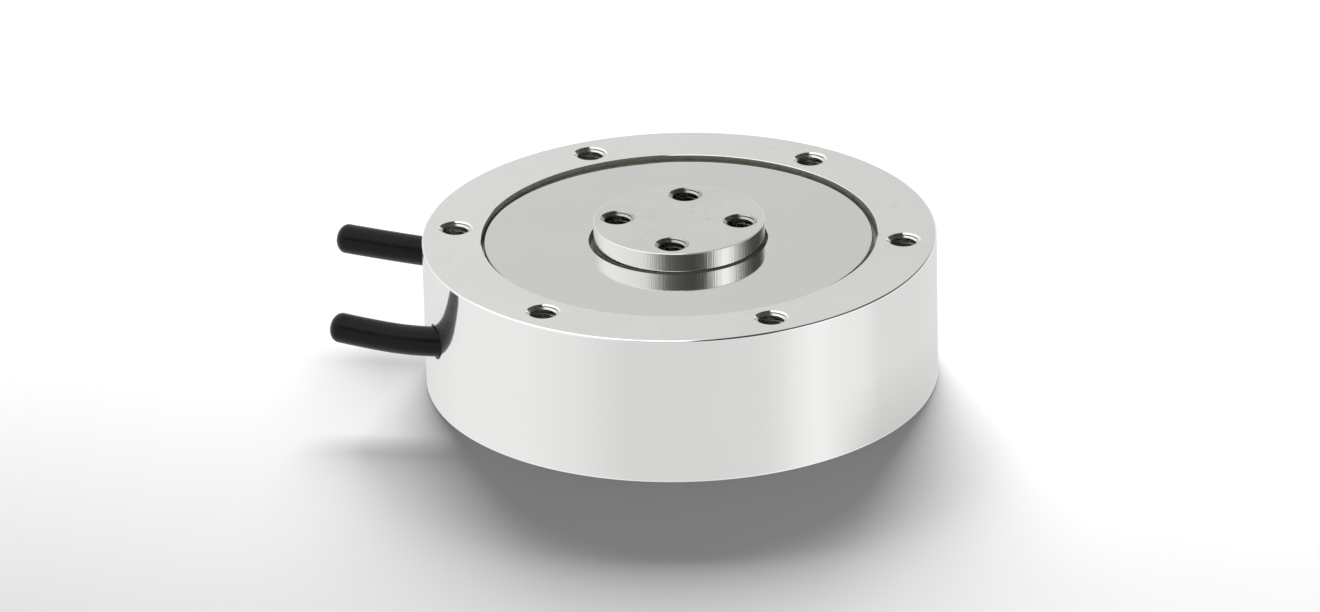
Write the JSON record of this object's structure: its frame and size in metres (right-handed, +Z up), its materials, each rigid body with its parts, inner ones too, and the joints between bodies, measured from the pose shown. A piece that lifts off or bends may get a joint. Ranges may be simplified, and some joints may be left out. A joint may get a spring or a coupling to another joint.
{
  "type": "force and torque sensor",
  "caption": "Low round metal force and torque sensor with a threaded outer ring, a raised threaded boss, a flush cover plate and cable stubs at one side.",
  "frame": {"origin": "centre of the ring's bottom face, on the sensor's axis", "axes": "+Z up along the sensor's axis, out of the boss; +X towards a ring bolt hole, away from the side where the cables leave"},
  "size_m": [0.1162, 0.096, 0.0315],
  "materials": {
    "machined_aluminium": "polished on the side, fine-turned on the top",
    "cover_aluminium": "ground",
    "sealant": "satin",
    "seal_rubber": "matte",
    "screw_steel": "bright",
    "gauge_foil": "thin amber film",
    "board_laminate": "satin",
    "resistor_ceramic": "matte",
    "loom_wire": "enamelled",
    "cable_jacket": "satin",
    "ferrule_brass": "plain",
    "core_insulation": "satin"
  },
  "bodies": {
    "root": {"sensor_body": "machined_aluminium", "top_cover": "cover_aluminium", "bottom_cover": "cover_aluminium", "top_cover_bead": "sealant", "boss_seal": "seal_rubber", "bottom_gasket": "seal_rubber", "force_cable_seal": "seal_rubber", "torque_cable_seal": "seal_rubber", "bottom_cover_screws": "screw_steel", "force_board_screws": "screw_steel", "torque_board_screws": "screw_steel", "force_gauge_1": "gauge_foil", "force_gauge_2": "gauge_foil", "force_gauge_3": "gauge_foil", "force_gauge_4": "gauge_foil", "torque_gauge_1": "gauge_foil", "torque_gauge_2": "gauge_foil", "torque_gauge_3": "gauge_foil", "torque_gauge_4": "gauge_foil", "force_board": "board_laminate", "torque_board": "board_laminate", "force_board_resistors": "resistor_ceramic", "torque_board_resistors": "resistor_ceramic", "force_leads": "loom_wire", "torque_leads": "loom_wire", "force_cable": "cable_jacket", "torque_cable": "cable_jacket", "force_cable_ferrule": "ferrule_brass", "torque_cable_ferrule": "ferrule_brass", "force_cable_cores": "core_insulation", "torque_cable_cores": "core_insulation"}
  },
  "joints": []
}
